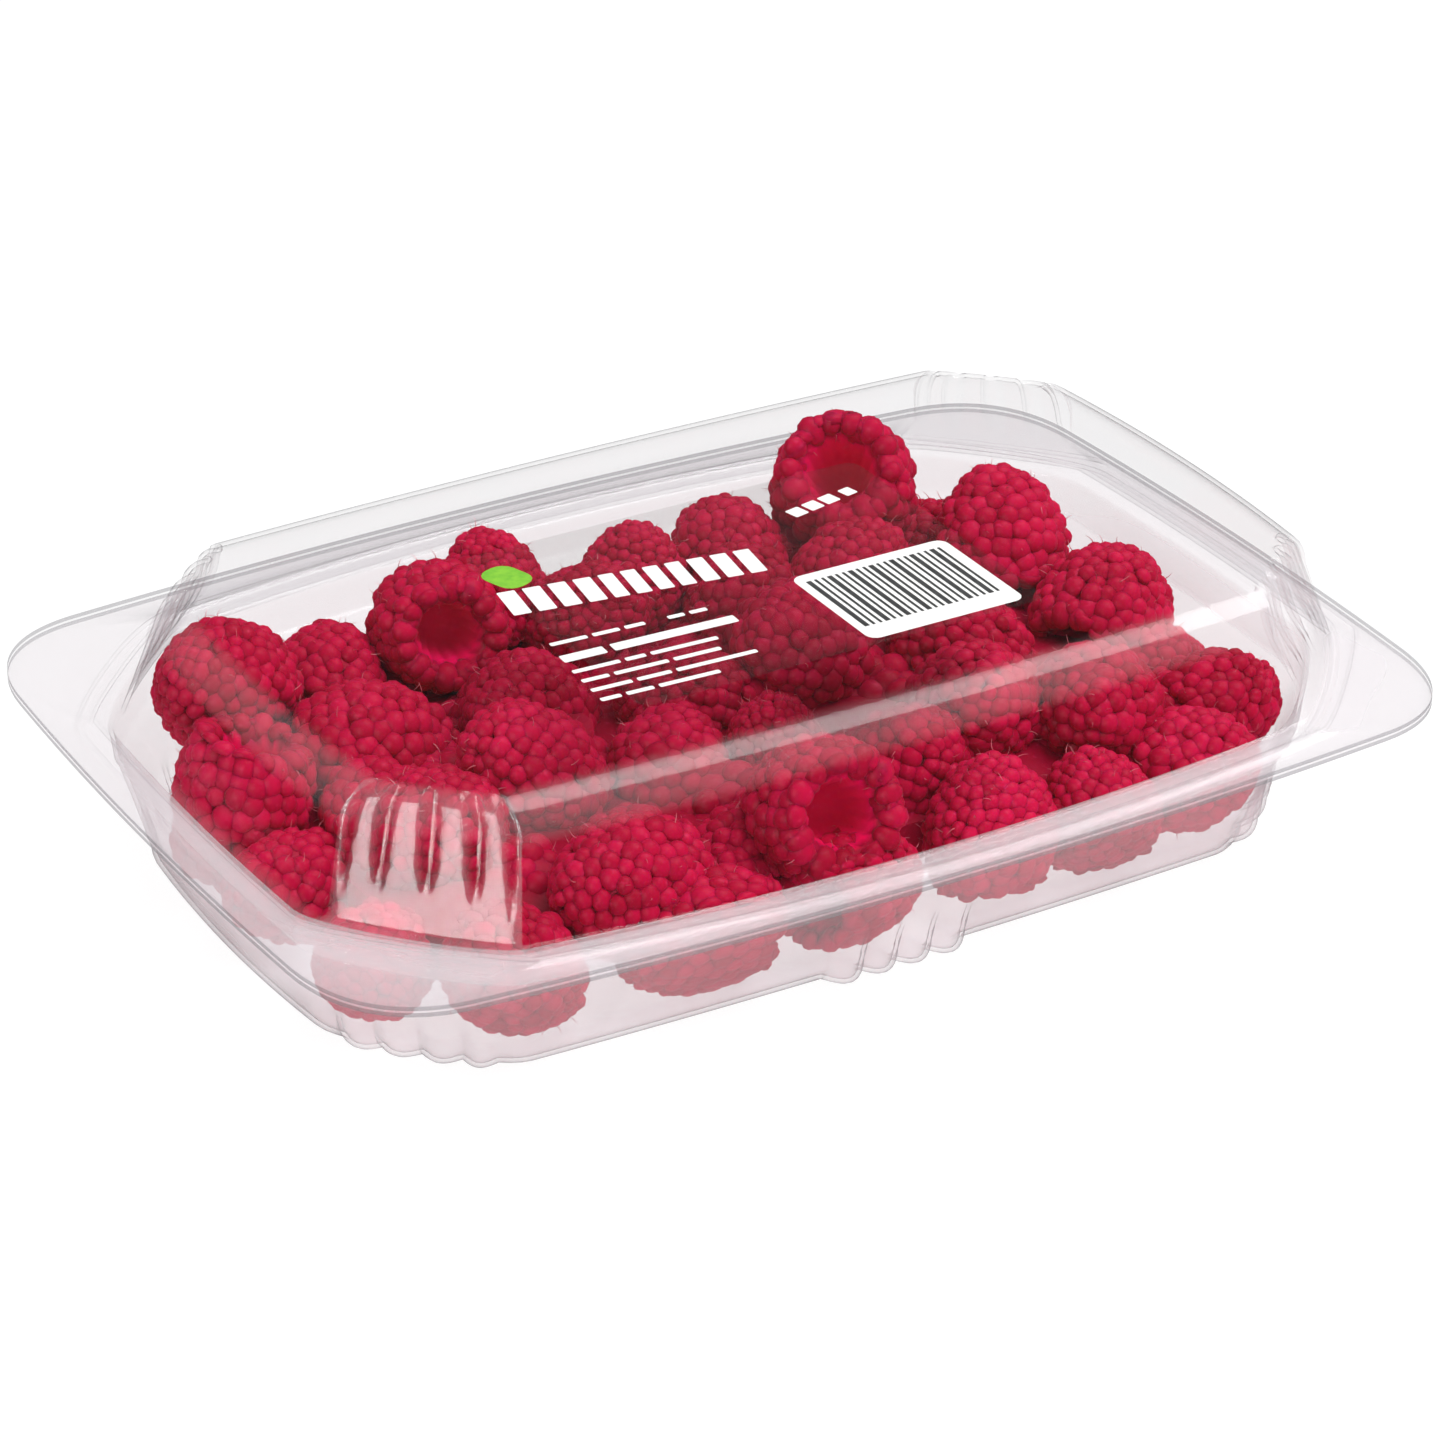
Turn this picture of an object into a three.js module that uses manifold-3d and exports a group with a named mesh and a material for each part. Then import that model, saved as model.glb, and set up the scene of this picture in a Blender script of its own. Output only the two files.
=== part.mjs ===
// A shut punnet of raspberries: a clear moulded tray, a clear domed lid, a film label on the lid
// and the heap of berries inside. Millimetres, +X along the length, +Y to the back, +Z up.
// The origin is the middle of the foot that the tray rests on.
import * as THREE from 'three';
import Module from 'manifold-3d';
import { mergeVertices } from 'three/addons/utils/BufferGeometryUtils.js';

const wasm = await Module();
wasm.setup();

// ---------------------------------------------------------------- driving dimensions
const WALL = 0.6; // thickness of the moulded sheet
const GAP = 0.3; // free space between pieces that touch
const REACH_X = 87.7; // half length of the rim, where every bow is measured
const REACH_Y = 64.2; // half width of the rim
const RIM_Z = 22.6; // height of the seam between tray and lid
const LID_Z = 40; // height of the flat top
const BEND = 6; // radius where the lid's wall turns into its top
const FOOT_BEND = 4.5; // radius where the tray's wall turns into its floor
const LID_SHIFT = { x: 2, y: -1.5 }; // the dome stands a little off the middle of its rim

// How many ribs or grooves a corner has, and where along the corner they start and stop
const TRAY_CORNERS = { flutes: 4, start: 0.2, stop: 0.8 };
const LID_CORNERS = { flutes: 5, start: 0.03, stop: 0.97 };

// Every outline has bowed ends and sides. The end stops at cornerY and the side at cornerX;
// between them the corner is cut off, and soft says how far it keeps the direction of both.
const RIM = { halfX: 87.7, halfY: 64.2, bowX: 2.8, bowY: 4.9, cornerX: 70, cornerY: 42, soft: 0.6 };
const TRAY_FOOT = { halfX: 77, halfY: 48.2, bowX: 9, bowY: 3.2, cornerX: 54, cornerY: 24, soft: 0.23, ...TRAY_CORNERS };
const TRAY_MOUTH = { halfX: 80, halfY: 56, bowX: 4, bowY: 9, cornerX: 58, cornerY: 28, soft: 0.23, ...TRAY_CORNERS };
const LID_FOOT = { halfX: 79.4, halfY: 56.2, bowX: 3.5, bowY: 11.2, cornerX: 60.6, cornerY: 31.4, soft: 0.12, ...LID_CORNERS };
const LID_TOP = { halfX: 77, halfY: 48, bowX: 7, bowY: 3.4, cornerX: 58.1, cornerY: 29.1, soft: 0.12, ...LID_CORNERS };
const LID_CLEAR = { ...LID_TOP, cornerX: 55.6, cornerY: 26.6, ...TRAY_CORNERS }; // clear of the grooves

const RIBS = 4; // in the middle of each long side of the tray
const FLUTE_DEPTH = 1.6;
const GROOVE_DEPTH = 1.6; // the lid's corners are flat panels with grooves cut in
const GROOVE_REACH = 0.26; // half a groove's width against the distance of grooves
const RIB_PITCH = 5.3;
const RIB_DEPTH = 2.8;
const FLUTE_FADE = 0.45; // flutes run out this far up the wall from its open edge
const SHELF_DROP = 5.5; // the step in the tray's wall lies this far below the seam
const SHELF_STEP = { x: 1.2, y: 2.2 }; // how far the wall below it stands in
const SHELF_RISE = 1; // height of the step
const MOUTH_DRAFT = 0.6; // lean of the short wall above the step

// Points along a quarter of an outline
const END_STEPS = 4;
const FLUTE_STEPS = 3;
const SIDE_STEPS = 4;
const CORNER_LEAD = 1; // steps of a corner before and after its flutes
const PLAIN_EVERY = 4; // a plain outline keeps one point in this many

// Film label on the lid: middle, size, round corners and thickness
const LABEL = { x: 1.5, y: -7, width: 63, depth: 50, radius: 2, cornerSteps: 4, film: 0.3 };

// ---------------------------------------------------------------- outlines
const bowedX = (s, y) => s.halfX - s.bowX * (y / REACH_Y) ** 2;
const bowedY = (s, x) => s.halfY - s.bowY * (x / REACH_X) ** 2;
const mix = (a, b, t) => a + (b - a) * t;

// Height of a rib over its own width, t from 0 to 1 across the ribs
const scallop = (t, ribs) => Math.abs(Math.sin(Math.PI * ribs * t));

// Depth of a groove over its own depth, t from 0 to 1 across the grooves
const notch = (t, grooves) => Math.max(0, 1 - (((t * grooves) % 1 - 0.5) / GROOVE_REACH) ** 2);

// Where along a corner its points lie: a lead, the flutes and a lead
function cornerPlaces({ flutes, start, stop }) {
  const places = [];
  for (let i = 0; i < CORNER_LEAD; i += 1) {
    places.push((start * i) / CORNER_LEAD);
  }
  for (let i = 0; i <= flutes * FLUTE_STEPS; i += 1) {
    places.push(mix(start, stop, i / (flutes * FLUTE_STEPS)));
  }
  for (let i = 1; i <= CORNER_LEAD; i += 1) {
    places.push(mix(stop, 1, i / CORNER_LEAD));
  }
  return places;
}

function corner(s, flute, groove) {
  const start = new THREE.Vector2(bowedX(s, s.cornerY), s.cornerY);
  const end = new THREE.Vector2(s.cornerX, bowedY(s, s.cornerX));
  const reach = [(start.x - end.x) * s.soft, (end.y - start.y) * s.soft];
  const slopeX = (-2 * s.bowX * s.cornerY) / REACH_Y ** 2;
  const slopeY = (-2 * s.bowY * s.cornerX) / REACH_X ** 2;
  const curve = new THREE.CubicBezierCurve(
    start,
    new THREE.Vector2(start.x + slopeX * reach[1], start.y + reach[1]),
    new THREE.Vector2(end.x + reach[0], end.y + slopeY * reach[0]),
    end,
  );
  return cornerPlaces(s).map((t) => {
    const point = curve.getPoint(t);
    const along = curve.getTangent(t);
    const place = (t - s.start) / (s.stop - s.start);
    const fluted = place > 0 && place < 1;
    const bump = fluted ? flute * scallop(place, s.flutes) - groove * notch(place, s.flutes) : 0;
    return [point.x + along.y * bump, point.y - along.x * bump];
  });
}

// A quarter from the middle of the end to the middle of the long side
function quarter(s, flute, groove, rib) {
  const points = [];
  for (let i = 0; i < END_STEPS; i += 1) {
    const y = (s.cornerY * i) / END_STEPS;
    points.push([bowedX(s, y), y]);
  }
  points.push(...corner(s, flute, groove));
  const ribStart = (RIB_PITCH * RIBS) / 2;
  for (let i = 1; i <= SIDE_STEPS; i += 1) {
    const x = mix(s.cornerX, ribStart, i / SIDE_STEPS);
    points.push([x, bowedY(s, x)]);
  }
  const ribSteps = (RIBS / 2) * FLUTE_STEPS;
  for (let i = 1; i <= ribSteps; i += 1) {
    const t = i / ribSteps;
    const x = ribStart * (1 - t);
    points.push([x, bowedY(s, x) + rib * scallop(t, RIBS / 2)]);
  }
  return points;
}

// A whole outline at height z, counter-clockwise from the middle of the +X end
function ring(s, z, { flute = 0, groove = 0, rib = 0, inset = 0, shift = { x: 0, y: 0 } } = {}) {
  const shape = { ...s, halfX: s.halfX - inset, halfY: s.halfY - inset };
  const first = quarter(shape, flute, groove, rib);
  const back = first.slice(1).reverse();
  const ahead = first.slice(0, -1);
  const signed = (list, sx, sy) => list.map(([x, y]) => [x * sx, y * sy]);
  const outline = [
    ...ahead,
    ...signed(back, -1, 1),
    ...signed(ahead, -1, -1),
    ...signed(back, 1, -1),
  ];
  return outline.map(([x, y]) => [x + shift.x, y + shift.y, z]);
}

// The same outline with few points and no flutes
function plainRing(s, z, inset, shift) {
  return ring(s, z, { inset, shift }).filter((_, i) => i % PLAIN_EVERY === 0);
}

// ---------------------------------------------------------------- solids
// Rings that follow each other are joined by a band; the first and last close on their middle.
function loft(rings) {
  const count = rings[0].length;
  const vertices = rings.flat();
  const faces = [];
  for (let r = 0; r < rings.length - 1; r += 1) {
    for (let i = 0; i < count; i += 1) {
      const a = r * count + i;
      const b = r * count + ((i + 1) % count);
      faces.push(a, b, b + count, a, b + count, a + count);
    }
  }
  const middle = (list) => [
    list.reduce((sum, p) => sum + p[0], 0) / count,
    list.reduce((sum, p) => sum + p[1], 0) / count,
    list[0][2],
  ];
  const lastRing = (rings.length - 1) * count;
  vertices.push(middle(rings[0]), middle(rings[rings.length - 1]));
  const startTip = rings.length * count;
  for (let i = 0; i < count; i += 1) {
    const next = (i + 1) % count;
    faces.push(startTip, next, i);
    faces.push(startTip + 1, lastRing + i, lastRing + next);
  }
  const geometry = new THREE.BufferGeometry();
  geometry.setAttribute('position', new THREE.Float32BufferAttribute(vertices.flat(), 3));
  geometry.setIndex(faces);
  return geometry;
}

// Rings of a quarter bend from a flat face to the wall that stands on the outline
function bendRings(shape, radius, zFlat, upwards, options) {
  const sign = upwards ? 1 : -1;
  return [0, 0.5, 1].map((t) => {
    const angle = (t * Math.PI) / 2;
    const inset = radius * (1 - Math.sin(angle)) + (options.inset ?? 0);
    const z = zFlat + sign * radius * (1 - Math.cos(angle));
    return ring(shape, z, { ...options, inset });
  });
}

// An outline part of the way from one to another
function between(a, b, t) {
  const entries = Object.keys(a).map((key) => [key, mix(a[key], b[key], t)]);
  return Object.fromEntries(entries);
}

const trayTopZ = RIM_Z - GAP / 2;
const lidRimZ = RIM_Z + GAP / 2;
const shelfZ = trayTopZ - SHELF_DROP;
const TRAY_SHELF = {
  ...TRAY_MOUTH,
  halfX: TRAY_MOUTH.halfX - SHELF_STEP.x,
  halfY: TRAY_MOUTH.halfY - SHELF_STEP.y,
};
const TRAY_WAIST = between(TRAY_FOOT, TRAY_SHELF, 1 - FLUTE_FADE);
const LID_WAIST = between(LID_FOOT, LID_TOP, FLUTE_FADE);

// The tray's wall from the floor up, as the outer face or, with an inset, the inner one
function trayWall(inset, floorZ, topZ) {
  const flutes = { flute: FLUTE_DEPTH, rib: RIB_DEPTH, inset };
  return [
    ...bendRings(TRAY_FOOT, FOOT_BEND - inset, floorZ, true, flutes),
    ring(TRAY_WAIST, mix(FOOT_BEND, shelfZ, 1 - FLUTE_FADE), { inset }),
    ring(TRAY_SHELF, shelfZ - SHELF_RISE, { inset }),
    ring(TRAY_MOUTH, shelfZ, { inset: inset + MOUTH_DRAFT }),
    ring(TRAY_MOUTH, topZ, { inset }),
  ];
}

function makeTray() {
  const outside = trayWall(0, 0, trayTopZ - WALL);
  const outline = { ...RIM, ...TRAY_CORNERS };
  const rim = [ring(outline, trayTopZ - WALL), ring(outline, trayTopZ)];
  const inside = trayWall(WALL, WALL, trayTopZ).reverse();
  return loft([...outside, ...rim, ...inside]);
}

// The lid's wall from the flat top down
function lidWall(inset, topZ, footZ) {
  const plain = { inset, shift: LID_SHIFT };
  return [
    ...bendRings(LID_TOP, BEND - inset, topZ, false, { ...plain, groove: GROOVE_DEPTH }),
    ring(LID_WAIST, mix(footZ, LID_Z - BEND, FLUTE_FADE), plain),
    ring(LID_FOOT, footZ, plain),
  ];
}

function makeLid() {
  const outside = lidWall(0, LID_Z, lidRimZ + WALL);
  const outline = { ...RIM, ...LID_CORNERS };
  const rim = [ring(outline, lidRimZ + WALL), ring(outline, lidRimZ)];
  const inside = lidWall(WALL, LID_Z - WALL, lidRimZ).reverse();
  return loft([...outside, ...rim, ...inside].reverse());
}

function makeLabel() {
  const { width, depth, radius, cornerSteps, film } = LABEL;
  const x = width / 2 - radius;
  const y = depth / 2 - radius;
  const shape = new THREE.Shape();
  shape.absarc(x, y, radius, 0, Math.PI / 2);
  shape.absarc(-x, y, radius, Math.PI / 2, Math.PI);
  shape.absarc(-x, -y, radius, Math.PI, Math.PI * 1.5);
  shape.absarc(x, -y, radius, Math.PI * 1.5, Math.PI * 2);
  const sheet = { depth: film, bevelEnabled: false, curveSegments: cornerSteps };
  return new THREE.ExtrudeGeometry(shape, sheet).translate(LABEL.x, LABEL.y, LID_Z + GAP);
}

// ---------------------------------------------------------------- berries
// Each row runs along the punnet. A berry has its middle, its width, the compass heading of its
// tip, the tilt of its tip above the level and, where the open end shows, its hollow.
const berry = (x, y, z, width, heading, tilt, hollow = false) => ({ x, y, z, width, heading, tilt, hollow });
const BERRIES = [
  // front row, along the near wall
  berry(-53, -38, 10, 20, 214, 44),
  berry(-27, -43, 9.3, 20.5, 170, 5),
  berry(-34, -35, 15.8, 21, 186, 11),
  berry(-3, -43, 10.3, 18, 20, 0),
  berry(-5, -36, 20, 22, 82, -24, true),
  berry(20, -40, 12, 19, 60, 80),
  berry(37, -41, 9, 19, 168, 77),
  berry(54, -37, 10, 20, 300, 30),
  berry(-15, -32, 11, 17, 60, 40),
  // right end
  berry(67, -26, 11, 20, 320, 20),
  berry(46, -26, 17, 20, 240, 30),
  berry(65, 0, 16, 20, 30, 20),
  berry(60, 20, 21, 20, 70, 50),
  berry(68, -9, 9, 17, 350, 0),
  berry(67, 15, 9, 18, 20, 10),
  berry(56, 33, 12, 19, 45, 20),
  // back row, along the far wall
  berry(43, 37, 26.3, 23, 54, -44, true),
  berry(23.2, 37, 20.2, 17.5, 80, 20),
  berry(7, 36, 20.5, 16, 44, 79),
  berry(-15.2, 37, 23.6, 16, 100, 60),
  berry(-26, 34, 22.5, 20, 76, -16, true),
  berry(-43, 35, 17, 18, 60, 20),
  berry(40, 39, 10, 19, 90, 10),
  berry(14, 41, 9, 18, 120, 0),
  berry(-8, 41, 9, 18, 60, 0),
  berry(-32, 39, 9, 18, 100, 0),
  berry(-55, 33, 9, 18, 130, 0),
  // left end
  berry(-62, 30, 24, 20, 200, 30),
  berry(-67, 13, 15.5, 20, 184, -78, true),
  berry(-67, -1, 8, 18, 180, 10),
  berry(-67, -25, 8, 16.5, 220, 0),
  berry(-68, 16, 8, 16, 160, 0),
  // the top of the heap
  berry(-46.3, 14, 16.2, 21.5, 335, 10),
  berry(-23, 13, 16, 20, 220, 30),
  berry(-33, -6, 19.2, 19, 150, 50),
  berry(-50, -12, 17, 20, 280, 40),
  berry(-5.7, 26, 22, 17, 300, 40),
  berry(-13, -9, 15, 18, 40, 50),
  berry(-2, 6, 16, 19, 170, 30),
  berry(1.7, -13, 16.7, 15, 240, 81),
  berry(17, 6, 20, 20, 200, 30),
  berry(18, 23, 18, 18, 60, 50),
  berry(35, 21, 20, 18, 20, 30),
  berry(39, -1, 17, 20, 130, 40),
  berry(31, -18, 17, 21, 250, 40),
  berry(16, -24, 15, 18, 320, 60),
  berry(-52, 0, 13, 19, 90, 30),
];

const BERRY_SIDES = 8;
// Half the outline of a berry of width 1, from its open end to its tip, and how it begins
const BODY = [[0.34, -0.5], [0.47, -0.3], [0.5, -0.02], [0.4, 0.3], [0.2, 0.52], [0, 0.58]];
const SHUT_END = [[0, -0.5]];
const HOLLOW = [[0, 0.1], [0.2, -0.1], [0.2, -0.46]];

function berryGeometry({ x, y, z, width, heading, tilt, hollow }) {
  const outline = [...(hollow ? HOLLOW : SHUT_END), ...BODY];
  const profile = outline.map(([r, h]) => new THREE.Vector2(r * width, h * width));
  const geometry = new THREE.LatheGeometry(profile, BERRY_SIDES);
  const turn = THREE.MathUtils.degToRad(heading);
  const rise = THREE.MathUtils.degToRad(tilt);
  const tip = new THREE.Vector3(
    Math.cos(rise) * Math.cos(turn),
    Math.cos(rise) * Math.sin(turn),
    Math.sin(rise),
  );
  const lean = new THREE.Quaternion().setFromUnitVectors(new THREE.Vector3(0, 1, 0), tip);
  return geometry.applyQuaternion(lean).translate(x, y, z);
}

const WELD = 1e-4; // points closer than this are one

function toSolid(geometry) {
  const bare = geometry.clone();
  bare.deleteAttribute('normal');
  bare.deleteAttribute('uv');
  const merged = mergeVertices(bare, WELD);
  return new wasm.Manifold(new wasm.Mesh({
    numProp: 3,
    vertProperties: new Float32Array(merged.attributes.position.array),
    triVerts: new Uint32Array(merged.index.array),
  }));
}

function toGeometry(solid) {
  const mesh = solid.getMesh();
  const geometry = new THREE.BufferGeometry();
  geometry.setAttribute('position', new THREE.Float32BufferAttribute(mesh.vertProperties, 3));
  geometry.setIndex(Array.from(mesh.triVerts));
  return geometry;
}

const SEAM_LEAN = 2.4; // tray and lid don't line up at the seam, so the heap keeps back from it
const BEND_CUT = { drop: 0.3, inset: 0.4 }; // a middle point of the lid's bend, in parts of BEND

// The space inside tray and lid, a gap away from both
function clearSpace() {
  const inset = WALL + GAP;
  return loft([
    plainRing(TRAY_FOOT, inset, FOOT_BEND + GAP),
    plainRing(TRAY_FOOT, FOOT_BEND, inset + GAP),
    plainRing(TRAY_SHELF, shelfZ - SHELF_RISE, inset),
    plainRing(TRAY_SHELF, RIM_Z, inset + SEAM_LEAN),
    plainRing(LID_CLEAR, LID_Z - BEND, inset, LID_SHIFT),
    plainRing(LID_CLEAR, LID_Z - BEND * BEND_CUT.drop, inset + BEND * BEND_CUT.inset, LID_SHIFT),
    plainRing(LID_CLEAR, LID_Z - inset, inset + BEND, LID_SHIFT),
  ]);
}

// The middle of the heap, under the berries that show: its heights and how far in it stands
const HEAP_CORE = { foot: 2, shoulder: 11, top: 15, inset: 8, crown: 8 };

function heapCore() {
  const { inset, foot, shoulder, top, crown } = HEAP_CORE;
  return loft([
    plainRing(TRAY_FOOT, foot, inset),
    plainRing(TRAY_FOOT, shoulder, inset),
    plainRing(TRAY_FOOT, top, inset + crown),
  ]);
}

function makeRaspberries() {
  let heap = toSolid(heapCore());
  for (const item of BERRIES) {
    heap = heap.add(toSolid(berryGeometry(item)));
  }
  return toGeometry(heap.intersect(toSolid(clearSpace())));
}

// ---------------------------------------------------------------- the scene graph
function plastic(color, opacity) {
  return new THREE.MeshStandardMaterial({
    color,
    roughness: 0.08,
    metalness: 0,
    transparent: true,
    opacity,
  });
}

function part(name, geometry, material) {
  const mesh = new THREE.Mesh(geometry, material);
  mesh.name = name;
  return mesh;
}

const punnet = new THREE.Group();
punnet.add(part('tray', makeTray(), plastic(0xf1eff0, 0.45)));
punnet.add(part('lid', makeLid(), plastic(0xf4f3f4, 0.3)));
punnet.add(part('label', makeLabel(), plastic(0xe8e4e6, 0.4)));
const flesh = new THREE.MeshStandardMaterial({ color: 0xb5123a, roughness: 0.45, metalness: 0 });
punnet.add(part('raspberries', makeRaspberries(), flesh));

export default punnet;
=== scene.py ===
"""A shut clear punnet of raspberries: tray, domed lid, film label and the berries inside."""

import math
import random
from collections import namedtuple

import bpy
from mathutils import Matrix, Vector


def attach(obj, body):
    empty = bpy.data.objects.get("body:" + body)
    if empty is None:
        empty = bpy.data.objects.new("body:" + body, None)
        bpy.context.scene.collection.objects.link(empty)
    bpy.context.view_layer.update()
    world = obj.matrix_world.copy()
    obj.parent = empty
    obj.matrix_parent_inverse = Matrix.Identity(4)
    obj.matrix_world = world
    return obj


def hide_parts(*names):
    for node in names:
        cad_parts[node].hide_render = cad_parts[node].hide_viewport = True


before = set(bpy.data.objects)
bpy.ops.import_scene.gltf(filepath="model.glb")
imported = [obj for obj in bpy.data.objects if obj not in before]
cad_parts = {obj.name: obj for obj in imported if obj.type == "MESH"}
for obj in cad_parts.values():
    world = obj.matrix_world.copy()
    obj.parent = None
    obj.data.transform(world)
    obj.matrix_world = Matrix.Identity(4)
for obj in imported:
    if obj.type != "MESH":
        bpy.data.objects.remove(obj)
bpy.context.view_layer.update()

MM = 0.001

# ------------------------------------------------------------------ sizes, in millimetres
WALL = 0.6  # moulded sheet
GAP = 0.3  # free space between pieces that touch
REACH_X = 87.7  # half length and half width of the rim
REACH_Y = 64.2
RIM_Z = 22.6  # seam between tray and lid
LID_Z = 40  # flat top of the lid
BEND = 6  # round edge of the lid's top
FOOT_BEND = 4.5  # round edge of the tray's floor
LID_SHIFT = (2, -1.5)  # the dome stands a little off the middle of its rim

# Half sizes, how far ends and sides bow, where they stop at the corner, how softly they turn, and
# how many ribs or grooves the corner has and where along it they start and stop
Outline = namedtuple("Outline", "half_x half_y bow_x bow_y corner_x corner_y soft flutes start stop")
TRAY_CORNERS = (4, 0.2, 0.8)
LID_CORNERS = (5, 0.03, 0.97)
RIM = (REACH_X, REACH_Y, 2.8, 4.9, 70, 42, 0.6)
TRAY_RIM = Outline(*RIM, *TRAY_CORNERS)
LID_RIM = Outline(*RIM, *LID_CORNERS)
TRAY_FOOT = Outline(77, 48.2, 9, 3.2, 54, 24, 0.23, *TRAY_CORNERS)
TRAY_MOUTH = Outline(80, 56, 4, 9, 58, 28, 0.23, *TRAY_CORNERS)
LID_FOOT = Outline(79.4, 56.2, 3.5, 11.2, 60.6, 31.4, 0.12, *LID_CORNERS)
LID_TOP = Outline(77, 48, 7, 3.4, 58.1, 29.1, 0.12, *LID_CORNERS)
LID_CLEAR = Outline(77, 48, 7, 3.4, 55.6, 26.6, 0.12, *TRAY_CORNERS)  # clear of the grooves

# The tray's ribs: in its corners, and in the middle of each long side
FLUTE_DEPTH = 1.6
FLUTE_FADE = 0.45  # this share of the wall, under its open edge, has no ribs
RIBS = 4
RIB_PITCH = 5.3
RIB_DEPTH = 2.8

# The lid's corners are flat panels that lean, with grooves cut in
PANEL_LEAN = math.radians(23)
GROOVE_DEPTH = 1.6
GROOVE_REACH = 0.26  # half a groove's width against the distance of grooves
GROOVE_POINT = 0.08  # the same where it has run out
GROOVE_START = 2.5  # grooves are at full depth one part in this many round the bend
GROOVE_FADE = 0.22  # this share of the wall, above its foot, has none

SHELF_DROP = 5.5  # the step in the tray's wall lies this far below the seam
SHELF_STEP = (1.2, 2.2)
SHELF_RISE = 1
MOUTH_DRAFT = 0.6
FOOT_ROUND = 0.5  # the lid's wall turns into its flange over this height
FLOOR_MARGIN = 5  # flat border inside a bend
BEAD_REACH = 3.6  # a low bead runs round the flange this far out
BEAD_WIDTH = 1.2
BEAD_RISE = 0.35
EDGE_WIDTH = 0.8  # outermost strip of the flange, which shows darker

# Haze of the sheet where it is drawn thin, along the lid's bend partly a painted highlight, and how
# much it darkens where it turns away
PANEL_HAZE = 1.4
BEND_HAZE = 0.3
TRAY_FLANGE_HAZE = 0.3
LID_FLANGE_HAZE = 0.8
BAND_SPREAD = 0.6  # the haze of the lid's bend, a white band that is partly a painted highlight band, fades to both sides as a sine to this power
FLAT_BEND = 0.25
EDGE_BEND = 0.8
WALL_BEND = 0.6
LID_BEND = 0.2
BACK_SHADE_OFFSET = 0.75  # painted light: both grow less towards the back by this share, over this distance, so the sheet does not look grey in the shade at the back
BACK_REACH = 45

END_STEPS = 10  # points along a quarter of an outline
LEAD_STEPS = 3
FLUTE_STEPS = 12
SIDE_STEPS = 14
HALF_RIB_STEPS = RIBS // 2 * FLUTE_STEPS
BEND_STEPS = 7
WALL_STEPS = 10
BEAD_STEPS = 4

TRAY_TOP_Z = RIM_Z - GAP / 2
LID_RIM_Z = RIM_Z + GAP / 2
SHELF_Z = TRAY_TOP_Z - SHELF_DROP
TRAY_SHELF = TRAY_MOUTH._replace(
    half_x=TRAY_MOUTH.half_x - SHELF_STEP[0],
    half_y=TRAY_MOUTH.half_y - SHELF_STEP[1],
)


# ------------------------------------------------------------------ small helpers
def mix(a, b, t):
    return a + (b - a) * t


def smooth(t):
    t = min(max(t, 0), 1)
    return t * t * (3 - 2 * t)


def only(piece):
    """Selects one piece and makes it active."""
    bpy.ops.object.select_all(action="DESELECT")
    piece.select_set(True)
    bpy.context.view_layer.objects.active = piece


def join(pieces, name):
    bpy.ops.object.select_all(action="DESELECT")
    for piece in pieces:
        piece.select_set(True)
    bpy.context.view_layer.objects.active = pieces[0]
    if len(pieces) > 1:
        bpy.ops.object.join()
    joined = bpy.context.object
    joined.name = name
    joined.data.name = name
    return joined


def copy_of(piece, matrix):
    """A copy with its own mesh, put in place by its points."""
    twin = piece.copy()
    twin.data = piece.data.copy()
    twin.data.transform(matrix)
    bpy.context.scene.collection.objects.link(twin)
    return twin


def mark(piece, name, values):
    """Writes a number on every point of a piece, for its finish to read."""
    if isinstance(values, (int, float)):
        values = [float(values)] * len(piece.data.vertices)
    layer = piece.data.attributes.get(name) or piece.data.attributes.new(name, "FLOAT", "POINT")
    layer.data.foreach_set("value", values)


def select_where(piece, test):
    """Enters edit mode on a piece with only the points selected that pass the test."""
    only(piece)
    bpy.context.tool_settings.mesh_select_mode = (True, False, False)
    for group in (piece.data.vertices, piece.data.edges, piece.data.polygons):
        group.foreach_set("select", [False] * len(group))
    for point in piece.data.vertices:
        point.select = test(point)
    bpy.ops.object.mode_set(mode="EDIT")


# ------------------------------------------------------------------ outlines of the pack
def bowed_x(s, y):
    return s.half_x - s.bow_x * (y / REACH_Y) ** 2


def bowed_y(s, x):
    return s.half_y - s.bow_y * (x / REACH_X) ** 2


def between(a, b, t):
    return Outline(*[mix(p, q, t) for p, q in zip(a, b)])


def scallop(t, ribs):
    return abs(math.sin(math.pi * ribs * t))


def notch(t, grooves, depth):
    """Depth of a groove over its own depth; where it runs out, it narrows to a point as well."""
    reach = mix(GROOVE_POINT, GROOVE_REACH, depth / GROOVE_DEPTH)
    return max(0, 1 - ((t * grooves % 1 - 0.5) / reach) ** 2)


def corner_places(s):
    steps = round(s.flutes) * FLUTE_STEPS
    places = [s.start * i / LEAD_STEPS for i in range(LEAD_STEPS)]
    places += [mix(s.start, s.stop, i / steps) for i in range(steps + 1)]
    places += [mix(s.stop, 1, i / LEAD_STEPS) for i in range(1, LEAD_STEPS + 1)]
    return places


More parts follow.
